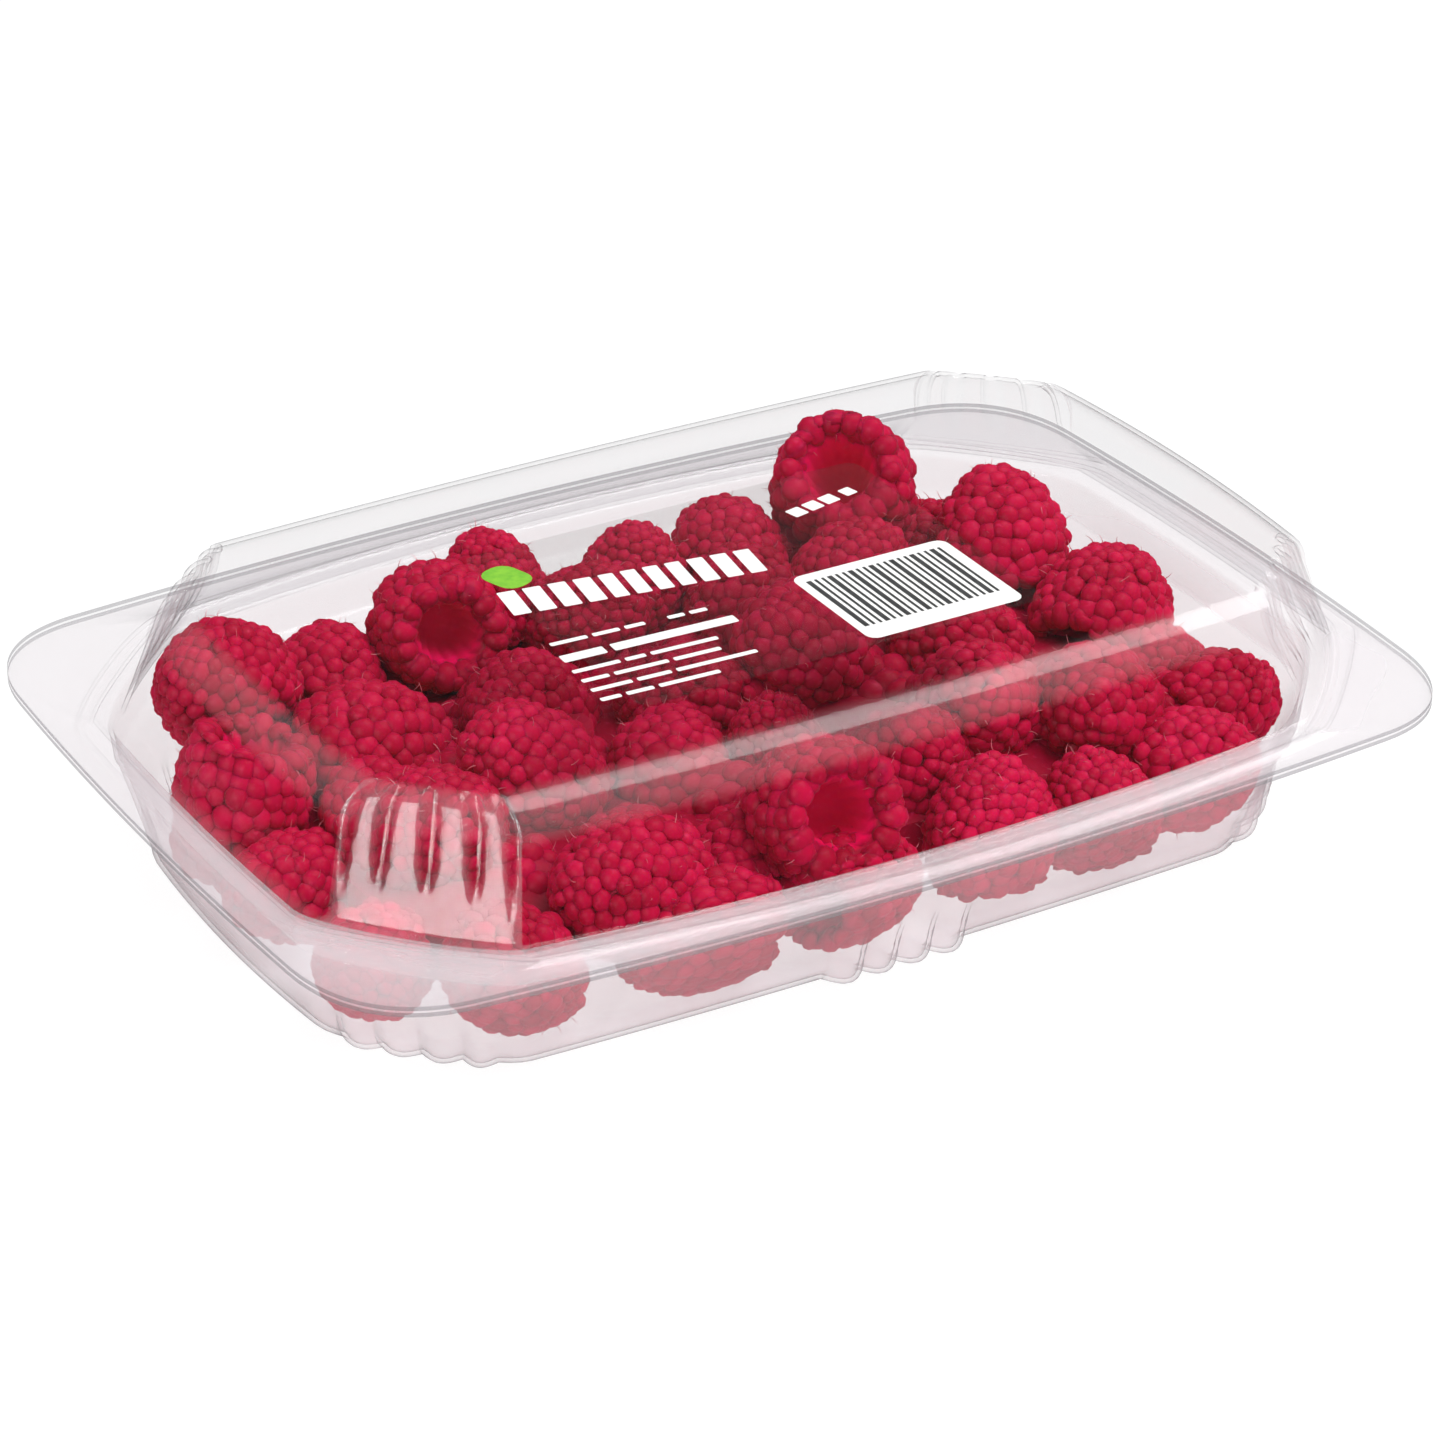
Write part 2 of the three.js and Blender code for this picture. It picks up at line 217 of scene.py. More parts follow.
def corner(s, flute, groove, lean):
    """The cut-off corner as a curve that leaves both sides softly. Its panel can have ribs pushed
    out and grooves cut in, and stand in or out as a whole."""
    x0, y0 = bowed_x(s, s.corner_y), s.corner_y
    x3, y3 = s.corner_x, bowed_y(s, s.corner_x)
    reach_x, reach_y = (x0 - x3) * s.soft, (y3 - y0) * s.soft
    x1 = x0 - 2 * s.bow_x * s.corner_y / REACH_Y**2 * reach_y
    y1 = y0 + reach_y
    x2 = x3 + reach_x
    y2 = y3 - 2 * s.bow_y * s.corner_x / REACH_X**2 * reach_x
    points = []
    for t in corner_places(s):
        u = 1 - t
        x = u**3 * x0 + 3 * u * u * t * x1 + 3 * u * t * t * x2 + t**3 * x3
        y = u**3 * y0 + 3 * u * u * t * y1 + 3 * u * t * t * y2 + t**3 * y3
        run_x = u * u * (x1 - x0) + 2 * u * t * (x2 - x1) + t * t * (x3 - x2)
        run_y = u * u * (y1 - y0) + 2 * u * t * (y2 - y1) + t * t * (y3 - y2)
        length = math.hypot(run_x, run_y)
        place = (t - s.start) / (s.stop - s.start)
        bump = 0
        if 0 < place < 1:
            bump = lean + flute * scallop(place, s.flutes) - groove * notch(place, s.flutes, groove)
        points.append((x + run_y / length * bump, y - run_x / length * bump))
    return points


def quarter(s, flute, groove, lean, rib):
    points = []
    for i in range(END_STEPS):
        y = s.corner_y * i / END_STEPS
        points.append((bowed_x(s, y), y))
    points += corner(s, flute, groove, lean)
    rib_start = RIB_PITCH * RIBS / 2
    for i in range(1, SIDE_STEPS + 1):
        x = mix(s.corner_x, rib_start, i / SIDE_STEPS)
        points.append((x, bowed_y(s, x)))
    for i in range(1, HALF_RIB_STEPS + 1):
        t = i / HALF_RIB_STEPS
        x = rib_start * (1 - t)
        points.append((x, bowed_y(s, x) + rib * scallop(t, RIBS / 2)))
    return points


def all_round(first):
    """What a quarter lists, and the same for the other three, with the signs of x and y."""
    ahead, back = first[:-1], first[:0:-1]
    quarters = ((ahead, 1, 1), (back, -1, 1), (ahead, -1, -1), (back, 1, -1))
    return [(item, x, y) for items, x, y in quarters for item in items]


def panel_shares(s, groove):
    """For each point of an outline how much of a panel's haze it has: none off the panels, and
    none in their grooves."""
    panel = []
    for t in corner_places(s):
        inside = s.start <= t <= s.stop
        cut = notch((t - s.start) / (s.stop - s.start), s.flutes, groove) ** 0.5 if groove else 0
        panel.append(inside * (1 - cut * min(1, 2 * groove / GROOVE_DEPTH)))
    after = [0] * (SIDE_STEPS + HALF_RIB_STEPS)
    return [item for item, _, _ in all_round([0] * END_STEPS + panel + after)]


def ring(s, z, flute=0, groove=0, lean=0, rib=0, inset=0, shift=(0, 0)):
    """A whole outline at height z, counter-clockwise from the middle of the +X end."""
    shape = s._replace(half_x=s.half_x - inset, half_y=s.half_y - inset)
    points = []
    for (x, y), sign_x, sign_y in all_round(quarter(shape, flute, groove, lean, rib)):
        points.append(((x * sign_x + shift[0]) * MM, (y * sign_y + shift[1]) * MM, z * MM))
    return points


# ------------------------------------------------------------------ moulded sheets
def stack(name, rings):
    """A tube: a circle extruded once for each further ring, then laid to the rings' outlines."""
    count = len(rings[0])
    bpy.ops.object.select_all(action="DESELECT")
    bpy.ops.mesh.primitive_circle_add(vertices=count, radius=1, fill_type="NOTHING")
    piece = bpy.context.object
    piece.name = name
    bpy.ops.object.mode_set(mode="EDIT")
    bpy.ops.mesh.select_mode(type="EDGE")
    bpy.ops.mesh.select_all(action="SELECT")
    for _ in rings[1:]:
        bpy.ops.mesh.extrude_edges_move(TRANSFORM_OT_translate={"value": (0, 0, 1)})
    bpy.ops.object.mode_set(mode="OBJECT")
    levels, places = [], []
    for point in piece.data.vertices:
        level = round(point.co.z)
        place = round(math.atan2(point.co.y, point.co.x) / math.tau * count) % count
        point.co = rings[level][place]
        levels.append(float(level))
        places.append(float(place))
    mark(piece, "level", levels)
    mark(piece, "place", places)
    return piece


def cap(piece, level):
    """Fills the ring at one level of a stack with a single face."""
    places = piece.data.attributes["level"].data
    select_where(piece, lambda point: round(places[point.index].value) == level)
    bpy.ops.mesh.edge_face_add()
    bpy.ops.object.mode_set(mode="OBJECT")


def face_out(piece, flip=False):
    """Turns all faces outwards, or the other way on an open sheet that needs it."""
    only(piece)
    bpy.ops.object.mode_set(mode="EDIT")
    bpy.ops.mesh.select_all(action="SELECT")
    bpy.ops.mesh.normals_make_consistent(inside=flip)
    bpy.ops.object.mode_set(mode="OBJECT")


# A ring of a sheet, its haze all round, what its corner panels have on top of that, how deep their
# grooves are, and how much it darkens where it turns away
Section = namedtuple("Section", "points haze panel groove bend", defaults=(0, 0, 0, 0))


def mould(name, sections, up, rim):
    """A thin sheet over its sections."""
    piece = stack(name, [section.points for section in sections])
    shares = [panel_shares(rim, section.groove) for section in sections]
    haze, bend = [], []
    for level, place in zip(piece.data.attributes["level"].data, piece.data.attributes["place"].data):
        row = round(level.value)
        section = sections[row]
        spot = round(place.value)
        # painted light: less haze and darkening towards the back, to offset the shade there
        back_shade_offset = 1 - BACK_SHADE_OFFSET * smooth(section.points[spot][1] / (BACK_REACH * MM))
        haze.append(float(section.haze + section.panel * shares[row][spot]) * back_shade_offset)
        bend.append(float(section.bend) * back_shade_offset)
    mark(piece, "haze", haze)
    mark(piece, "bend", bend)
    piece.data.materials.append(None)  # the sheet and its cut edge
    piece.data.materials.append(None)
    cap(piece, 0)
    face_out(piece)
    largest = max(piece.data.polygons, key=lambda face: len(face.vertices))
    if (largest.normal.z > 0) != up:
        face_out(piece, flip=True)
    thickness = piece.modifiers.new("sheet", "SOLIDIFY")
    thickness.thickness = WALL * MM
    thickness.offset = -1
    thickness.material_offset_rim = 1
    only(piece)
    bpy.ops.object.modifier_apply(modifier=thickness.name)
    bpy.ops.object.shade_smooth_by_angle(angle=math.radians(40))
    return piece


def flange(foot, rim, z, shift, haze, panel=0):
    """From the foot of a wall across the flange, over its bead and out to the rim."""
    run = [(0.4, 0, 0), (1.2, 0, 0.3), (2.4, 0, 0.7), (BEAD_REACH, 0, 1)]
    for i in range(1, BEAD_STEPS):
        t = i / BEAD_STEPS
        run.append((BEAD_REACH + BEAD_WIDTH * t, BEAD_RISE * math.sin(math.pi * t), 1))
    run.append((BEAD_REACH + BEAD_WIDTH, 0, 1))
    sections = []
    for out, rise, share in run:
        outline = ring(foot, z + rise, inset=-out, shift=shift)
        sections.append(Section(outline, haze * share, mix(panel, haze, share), bend=FLAT_BEND * share))
    sections.append(Section(ring(rim, z, inset=EDGE_WIDTH), haze, bend=FLAT_BEND))
    sections.append(Section(ring(rim, z), haze, bend=EDGE_BEND))
    return sections


def make_tray():
    top = TRAY_TOP_Z - WALL
    flutes = {"flute": FLUTE_DEPTH, "rib": RIB_DEPTH}
    sections = [Section(ring(TRAY_FOOT, 0, inset=FOOT_BEND + FLOOR_MARGIN))]
    for i in range(BEND_STEPS + 1):
        angle = i / BEND_STEPS * math.pi / 2
        inset = FOOT_BEND * (1 - math.sin(angle))
        height = FOOT_BEND * (1 - math.cos(angle))
        outline = ring(TRAY_FOOT, height, inset=inset, **flutes)
        sections.append(Section(outline, BEND_HAZE, bend=EDGE_BEND))
    for i in range(1, WALL_STEPS + 1):
        t = i / WALL_STEPS
        left = 1 - smooth(t / (1 - FLUTE_FADE))
        outline = between(TRAY_FOOT, TRAY_SHELF, t)
        height = mix(FOOT_BEND, SHELF_Z - SHELF_RISE, t)
        fluted = ring(outline, height, FLUTE_DEPTH * left, rib=RIB_DEPTH * left)
        sections.append(Section(fluted, bend=WALL_BEND * left))
    mouth = [
        (SHELF_Z - 0.25, MOUTH_DRAFT + 0.35, 1),
        (SHELF_Z + 0.3, MOUTH_DRAFT, 0.8),
        (top - 0.5, 0.1, 0.4),
        (top - 0.12, -0.1, 0.4),
    ]
    for height, inset, haze in mouth:
        sections.append(Section(ring(TRAY_MOUTH, height, inset=inset), haze))
    sections += flange(TRAY_MOUTH, TRAY_RIM, top, (0, 0), TRAY_FLANGE_HAZE)
    return mould("tray_shell", sections, up=False, rim=TRAY_RIM)


def make_lid():
    foot = LID_RIM_Z + WALL
    flat = {"shift": LID_SHIFT}
    sections = [Section(ring(LID_TOP, LID_Z, inset=BEND + FLOOR_MARGIN, **flat))]
    for i in range(BEND_STEPS + 1):
        angle = i / BEND_STEPS * math.pi / 2
        inset = BEND * (1 - math.sin(angle))
        height = LID_Z - BEND * (1 - math.cos(angle))
        lean = min(0, inset - (height - LID_Z + BEND) * math.tan(PANEL_LEAN))
        groove = GROOVE_DEPTH * smooth(GROOVE_START * i / BEND_STEPS)
        outline = ring(LID_TOP, height, groove=groove, lean=lean, inset=inset, **flat)
        # the haze along the bend is partly the sheet drawn thin and partly a painted highlight band
        turned = max(0, math.sin(angle * 2))
        panel = PANEL_HAZE * i / BEND_STEPS
        sections.append(Section(outline, turned**BAND_SPREAD, panel, groove, LID_BEND * turned))
    for i in range(1, WALL_STEPS + 1):
        t = i / WALL_STEPS
        groove = GROOVE_DEPTH * (1 - smooth(t / (1 - GROOVE_FADE)))
        outline = between(LID_TOP, LID_FOOT, t)
        height = mix(LID_Z - BEND, foot + FOOT_ROUND, t)
        sections.append(Section(ring(outline, height, groove=groove, **flat), 0, PANEL_HAZE, groove))
    sections.append(Section(ring(LID_FOOT, foot + 0.12, inset=-0.2, **flat), 0, PANEL_HAZE))
    sections += flange(LID_FOOT, LID_RIM, foot, LID_SHIFT, LID_FLANGE_HAZE, PANEL_HAZE)
    return mould("lid_shell", sections, up=True, rim=LID_RIM)


# ------------------------------------------------------------------ berries
# Each row has a berry's middle, its width, the compass heading of its tip, the tilt of its tip
# above the level, and whether its open end shows.
Berry = namedtuple("Berry", "x y z width heading tilt shown", defaults=(False,))
BERRIES = [
    # front row, along the near wall
    Berry(-53, -38, 10, 20, 214, 44),
    Berry(-27, -43, 9.3, 20.5, 170, 5),
    Berry(-34, -35, 15.8, 21, 186, 11),
    Berry(-3, -43, 10.3, 18, 20, 0),
    Berry(-5, -36, 20, 22, 82, -24, True),
    Berry(20, -40, 12, 19, 60, 80),
    Berry(37, -41, 9, 19, 168, 77),
    Berry(54, -37, 10, 20, 300, 30),
    Berry(-15, -32, 11, 17, 60, 40),
    # right end
    Berry(67, -26, 11, 20, 320, 20),
    Berry(46, -26, 17, 20, 240, 30),
    Berry(65, 0, 16, 20, 30, 20),
    Berry(60, 20, 21, 20, 70, 50),
    Berry(68, -9, 9, 17, 350, 0),
    Berry(67, 15, 9, 18, 20, 10),
    Berry(56, 33, 12, 19, 45, 20),
    # back row, along the far wall
    Berry(43, 37, 26.3, 23, 54, -44, True),
    Berry(23.2, 37, 20.2, 17.5, 80, 20),
    Berry(7, 36, 20.5, 16, 44, 79),
    Berry(-15.2, 37, 23.6, 16, 100, 60),
    Berry(-26, 34, 22.5, 20, 76, -16, True),
    Berry(-43, 35, 17, 18, 60, 20),
    Berry(40, 39, 10, 19, 90, 10),
    Berry(14, 41, 9, 18, 120, 0),
    Berry(-8, 41, 9, 18, 60, 0),
    Berry(-32, 39, 9, 18, 100, 0),
    Berry(-55, 33, 9, 18, 130, 0),
    # left end
    Berry(-62, 30, 24, 20, 200, 30),
    Berry(-67, 13, 15.5, 20, 184, -78, True),
    Berry(-67, -1, 8, 18, 180, 10),
    Berry(-67, -25, 8, 16.5, 220, 0),
    Berry(-68, 16, 8, 16, 160, 0),
    # the top of the heap
    Berry(-46.3, 14, 16.2, 21.5, 335, 10),
    Berry(-23, 13, 16, 20, 220, 30),
    Berry(-33, -6, 19.2, 19, 150, 50),
    Berry(-50, -12, 17, 20, 280, 40),
    Berry(-5.7, 26, 22, 17, 300, 40),
    Berry(-13, -9, 15, 18, 40, 50),
    Berry(-2, 6, 16, 19, 170, 30),
    Berry(1.7, -13, 16.7, 15, 240, 81),
    Berry(17, 6, 20, 20, 200, 30),
    Berry(18, 23, 18, 18, 60, 50),
    Berry(35, 21, 20, 18, 20, 30),
    Berry(39, -1, 17, 20, 130, 40),
    Berry(31, -18, 17, 21, 250, 40),
    Berry(16, -24, 15, 18, 320, 60),
    Berry(-52, 0, 13, 19, 90, 30),
]
# The hidden layer under the top of the heap: a grid of places, and how unevenly they lie
UNDER_COLUMNS, UNDER_ROWS = 6, 3
UNDER_PITCH = (17.5, 19)
UNDER_PLAY = (-2, 2)
UNDER_WIDTHS = (17, 20)
UNDER_TILTS = (-30, 30)
UNDER_Z = 9.6
LARGEST, LARGE, MIDDLING = 21, 19, 17.5  # a berry of each kind is wider than this
LOW, FAR = 12, 10  # berries lower and farther back than this are hidden behind others

# Half the outline of a berry of width 1 from inside its lip to its tip: radius and height
SIDE = [(0.225, -0.34), (0.25, -0.44), (0.31, -0.49), (0.4, -0.44), (0.475, -0.26), (0.5, -0.03)]
SIDE += [(0.47, 0.15), (0.39, 0.31), (0.29, 0.44), (0.16, 0.54), (0, 0.58)]
# The body under its drupelets, from the bottom of the hollow over the lip to the tip
BODY = [(0, 0.1), (0.1, 0.08), (0.165, -0.04), (0.195, -0.2), (0.215, -0.34), (0.265, -0.42)]
BODY += [(0.34, -0.41), (0.41, -0.25), (0.44, -0.02), (0.41, 0.15), (0.33, 0.3), (0.19, 0.44), (0, 0.5)]
BODY_SIDES = 28
HOLLOW_ROWS = 5
HOLLOW_REACH = 0.24
HOLLOW_RIDGES = 14
RIDGE_DEPTH = 0.07  # against the hollow's radius
HOLLOW_GLOW_SHARES = (0.85, 1)  # painted shade: how much of its painted glow the hollow takes at its bottom and at its lip
ROW_PACK = 0.87  # distance of rows against that of drupelets in a row
ROW_LENGTHS = (1.2, 0.85)  # rows are longer at the open end and shorter at the tip
DRUPELET_SWELL = 0.64  # radius of a drupelet against that distance
DRUPELET_HEIGHT = 1  # how high it swells against its radius
CREASE_DEPTH = 0.35  # how far under its middle the painted shade of its crease is darkest
PITCHES = [0.14, 0.13, 0.155, 0.125, 0.145, 0.135]  # drupelet sizes of the modelled berries
COARSE_PITCHES = [0.152, 0.14]  # those of the berries with large drupelets
DEEP_PITCHES = [0.21, 0.23]  # those of the berries that hardly show between the others
BEAD_PLAY = (-0.4, 0.4)  # how far a drupelet strays from its row, in parts of a drupelet
BEAD_SIZES = (0.82, 1.18)
BEAD_LENGTHS = (0.94, 1.08)
BEAD_DEPTHS = (0.8, 1.2)  # how deep its middle lies, against its height
LOOSENINGS = 4  # rounds in which neighbours push each other apart
LOOSENING = 0.22
HAIR_SHARE = 0.2
HAIR_LENGTH = 0.06
HAIR_WIDTH = 0.004
HAIR_LEAN = (-0.6, 0.6)
HAIR_LENGTHS = (0.6, 1.3)
HAIR_ROOT = 0.93  # where it starts, against a drupelet's height
BERRY_STRETCH = (0.95, 1.06)
SEED = 11
SQUEEZES = 4  # rounds of pressing a berry flat where it meets the plastic
SQUEEZE_STRIDE = 7  # every so many points are enough to find where a berry presses
SQUEEZE_PLAY = 0.15


def walk(outline, distance):
    """The point and outward direction at a distance along an outline of radius and height."""
    for (r0, h0), (r1, h1) in zip(outline, outline[1:]):
        length = math.hypot(r1 - r0, h1 - h0)
        if distance <= length or (r1, h1) == outline[-1]:
            t = min(distance / length, 1)
            return (mix(r0, r1, t), mix(h0, h1, t)), ((h1 - h0) / length, -(r1 - r0) / length)
        distance -= length


def run_length(outline):
    return sum(math.hypot(b[0] - a[0], b[1] - a[1]) for a, b in zip(outline, outline[1:]))


def round_off(outline, passes=3):
    """Cuts the corners of an outline until it runs round, and keeps both of its ends."""
    for _ in range(passes):
        cut = [outline[0]]
        for (r0, h0), (r1, h1) in zip(outline, outline[1:]):
            cut.append((mix(r0, r1, 0.25), mix(h0, h1, 0.25)))
            cut.append((mix(r0, r1, 0.75), mix(h0, h1, 0.75)))
        outline = cut + [outline[-1]]
    return outline


def drupelet():
    """One bead of radius 1: a ball whose buried half is cut off and closed."""
    bpy.ops.object.select_all(action="DESELECT")
    bpy.ops.mesh.primitive_ico_sphere_add(subdivisions=2, radius=1)
    bead = bpy.context.object
    bpy.ops.object.mode_set(mode="EDIT")
    bpy.ops.mesh.select_all(action="SELECT")
    bpy.ops.mesh.bisect(plane_co=(0, 0, 0), plane_no=(0, 0, 1), use_fill=True, clear_inner=True)
    bpy.ops.object.mode_set(mode="OBJECT")
    bpy.ops.object.shade_smooth()
    heights = [point.co.z for point in bead.data.vertices]
    # painted shade: a bead darkens towards where it sinks into the berry
    mark(bead, "crease_shade", [1 - smooth((z + CREASE_DEPTH) / 1.2) for z in heights])
    mark(bead, "tone", 0.5)
    mark(bead, "hollow", 0)
    return bead


def hair():
    """A fine dry thread of length 1 that leans over: a thin cone, subdivided and curved."""
    bpy.ops.object.select_all(action="DESELECT")
    bpy.ops.mesh.primitive_cone_add(vertices=3, radius1=1, radius2=0.3, depth=1, location=(0, 0, 0.5))
    thread = bpy.context.object
    bpy.ops.object.transform_apply(location=True)
    bpy.ops.object.mode_set(mode="EDIT")
    bpy.ops.mesh.select_all(action="SELECT")
    bpy.ops.mesh.bisect(plane_co=(0, 0, 0.35), plane_no=(0, 0, 1))
    bpy.ops.mesh.select_all(action="SELECT")
    bpy.ops.mesh.bisect(plane_co=(0, 0, 0.7), plane_no=(0, 0, 1))
    bpy.ops.object.mode_set(mode="OBJECT")
    for point in thread.data.vertices:
        height = point.co.z
        point.co.x = point.co.x * HAIR_WIDTH / HAIR_LENGTH + 0.5 * height**2
        point.co.y *= HAIR_WIDTH / HAIR_LENGTH
    bpy.ops.object.shade_smooth()
    return thread


def body():
    """A berry's body: a ball whose rows are laid along the outline, its lower rows up the hollow."""
    outline = round_off(BODY, 1)
    rows = len(outline) - 1
    bpy.ops.object.select_all(action="DESELECT")
    bpy.ops.mesh.primitive_uv_sphere_add(segments=BODY_SIDES, ring_count=rows, radius=1)
    ball = bpy.context.object
    for point in ball.data.vertices:
        row = round(math.acos(max(-1, min(1, -point.co.z))) / math.pi * rows)
        angle = math.atan2(point.co.y, point.co.x)
        radius, height = outline[row]
        if 0 < row < 2 * HOLLOW_ROWS:
            radius *= 1 + RIDGE_DEPTH * math.cos(HOLLOW_RIDGES * angle)
        point.co = (radius * math.cos(angle), radius * math.sin(angle), height)
    bpy.ops.object.mode_set(mode="EDIT")
    bpy.ops.mesh.select_all(action="SELECT")
    bpy.ops.mesh.normals_make_consistent(inside=False)
    bpy.ops.object.mode_set(mode="OBJECT")
    bpy.ops.object.shade_smooth()
    # painted shade: the body between the beads is darkened
    mark(ball, "crease_shade", 0.7)
    mark(ball, "tone", 0.4)
    hollow = []
    for point in ball.data.vertices:
        inside = math.hypot(point.co.x, point.co.y) < HOLLOW_REACH and point.co.z < 0.2
        # painted glow in the hollow, with less of it towards the bottom as painted shade
        hollow.append(inside * mix(*HOLLOW_GLOW_SHARES, smooth((0.1 - point.co.z) / 0.5)))
    mark(ball, "hollow", hollow)
    return ball


def facing(normal, spin):
    """Turns +Z to a normal, after a spin about it."""
    lean = Vector((0, 0, 1)).rotation_difference(normal).to_matrix().to_4x4()
    return lean @ Matrix.Rotation(spin, 4, "Z")


def row_places(length, pitch):
    """Where the rows of beads lie along a berry's outline, as shares of it."""
    places, at = [], 0
    while at < length:
        places.append(at / length)
        at += pitch * ROW_PACK * mix(*ROW_LENGTHS, at / length)
    return places


def bead_places(pitch, rng):
    """Shares of the outline and angles for all beads of a berry: staggered rows, then loosened."""
    side = round_off(SIDE)
    length = run_length(side)
    places, turn = [], rng.uniform(0, math.tau)
    for share in row_places(length, pitch):
        radius = walk(side, length * share)[0][0]
        count = max(1, round(math.tau * radius / pitch))
        turn += math.pi / count
        for i in range(count):
            angle = turn + (i + rng.uniform(*BEAD_PLAY)) * math.tau / count
            places.append((share * length + pitch * rng.uniform(*BEAD_PLAY), angle))
    for _ in range(LOOSENINGS):
        spots = []
        for along, angle in places:
            (radius, height), _ = walk(side, max(along, 0))
            spots.append(Vector((radius * math.cos(angle), radius * math.sin(angle), height)))
        moved = []
        for (along, angle), spot in zip(places, spots):
            (radius, _), (out, rise) = walk(side, max(along, 0))
            forward = Vector((-rise * math.cos(angle), -rise * math.sin(angle), out))
            sideways = Vector((-math.sin(angle), math.cos(angle), 0))
            push = Vector()
            for other in spots:
                apart = spot - other
                near = apart.length
                if 0 < near < pitch:
                    push += apart * (pitch / near - 1)
            step_along = push.dot(forward) * LOOSENING
            step_angle = push.dot(sideways) * LOOSENING / max(radius, pitch)
            moved.append((min(max(along + step_along, 0), length), angle + step_angle))
        places = moved
    return [(along / length, angle) for along, angle in places]


def make_berry(name, pitch, bead, thread, rng):
    """One berry of width 1 with its tip at +Z: beads packed round its body, and its threads."""
    side = round_off(SIDE)
    beads, threads = [body()], []
    for share, angle in bead_places(pitch, rng):
        (radius, height), (out, rise) = walk(side, run_length(side) * share)
        normal = Vector((math.cos(angle) * out, math.sin(angle) * out, rise)).normalized()
        around = Vector((-math.sin(angle), math.cos(angle), 0))
        along = normal.cross(around)
        size = pitch * DRUPELET_SWELL * rng.uniform(*BEAD_SIZES)
        long = mix(*ROW_LENGTHS, share) * rng.uniform(*BEAD_LENGTHS)
        high = size * DRUPELET_HEIGHT
        place = Vector((radius * math.cos(angle), radius * math.sin(angle), height))
        place -= normal * high * rng.uniform(*BEAD_DEPTHS)
        axes = Matrix((around * size, along * size * long, normal * high)).transposed().to_4x4()
        one = copy_of(bead, Matrix.Translation(place) @ axes)
        mark(one, "tone", rng.random())
        beads.append(one)
        if rng.random() < HAIR_SHARE:
            lean = Vector([rng.uniform(*HAIR_LEAN) for _ in range(3)])
            stand = facing((normal + lean).normalized(), rng.uniform(0, math.tau))
            length = Matrix.Scale(HAIR_LENGTH * rng.uniform(*HAIR_LENGTHS), 4)
            root = Matrix.Translation(place + normal * high * HAIR_ROOT)
            threads.append(copy_of(thread, root @ stand @ length))
    return join(beads, name), join(threads, name + "_threads")


def put(item, models, space, rng):
    """Copies of a modelled berry and its threads at a place in the heap."""
    turn, rise = math.radians(item.heading), math.radians(item.tilt)
    tip = Vector((math.cos(rise) * math.cos(turn), math.cos(rise) * math.sin(turn), math.sin(rise)))
    size = item.width * MM
    stretch = Matrix.Diagonal([size * rng.uniform(*BERRY_STRETCH) for _ in range(3)] + [1])
    middle = Vector((item.x, item.y, item.z)) * MM
    matrix = Matrix.Translation(middle) @ facing(tip, rng.uniform(0, math.tau)) @ stretch
    flesh, threads = [copy_of(piece, matrix) for piece in rng.choice(models)]
    squeeze(flesh, middle, space)
    squeeze(threads, middle, space)
    mark(flesh, "ripeness", rng.random())
    return flesh, threads


def clear_space():
    """The space inside tray and lid, as a helper that is removed once the berries fit it."""
    edge = WALL + GAP
    flat = {"shift": LID_SHIFT}
    space = stack("clear_space", [
        ring(TRAY_FOOT, edge, inset=FOOT_BEND + GAP),
        ring(TRAY_FOOT, FOOT_BEND, inset=edge + GAP),
        ring(TRAY_SHELF, SHELF_Z - SHELF_RISE, inset=edge),
        ring(TRAY_SHELF, RIM_Z, inset=edge + 2.4),
        ring(LID_CLEAR, LID_Z - BEND, inset=edge, **flat),
        ring(LID_CLEAR, LID_Z - BEND * 0.3, inset=edge + BEND * 0.4, **flat),
        ring(LID_CLEAR, LID_Z - edge, inset=edge + BEND, **flat),
    ])
    cap(space, 0)
    cap(space, 6)
    face_out(space)
    return space


def heap_core():
    """The middle of the heap as one mass in the darkest berry colour: painted shade, which only shows
    as depth between the berries.
    """
    core = stack("heap_core", [
        ring(TRAY_FOOT, 4, inset=20),
        ring(TRAY_FOOT, 6, inset=15),
        ring(TRAY_FOOT, 12, inset=15),
        ring(TRAY_FOOT, 15, inset=22),
    ])
    cap(core, 0)
    cap(core, 3)
    face_out(core)
    bpy.ops.object.shade_smooth_by_angle(angle=math.radians(50))
    # painted shade: full crease darkening and a low tone make it the darkest berry colour
    mark(core, "crease_shade", 1)
    mark(core, "tone", 0.2)
    mark(core, "hollow", 0)
    mark(core, "ripeness", 0.3)
    return core


def squeeze(berry, middle, space):
    """Flattens a berry where the plastic would press it, all of that side together."""
    points = list(berry.data.vertices)
    for _ in range(SQUEEZES):
        worst, way, reach = SQUEEZE_PLAY * MM, None, 0
        for point in points[::SQUEEZE_STRIDE]:
            _, near, normal, _ = space.closest_point_on_mesh(point.co)
            over = (point.co - near).dot(normal)
            if over > worst:
                worst, way, reach = over, normal.copy(), (point.co - middle).dot(normal)
        if way is None or reach <= worst:
            return
        for point in points:
            stand = (point.co - middle).dot(way)
            if stand > 0:
                point.co -= way * stand * worst / reach


def keep_inside(piece, space):
    """Presses what is left outside the clear space flat against it."""
    press = piece.modifiers.new("press", "SHRINKWRAP")
    press.wrap_method = "NEAREST_SURFACEPOINT"
    press.wrap_mode = "INSIDE"
    press.target = space
    only(piece)
    bpy.ops.object.modifier_apply(modifier=press.name)


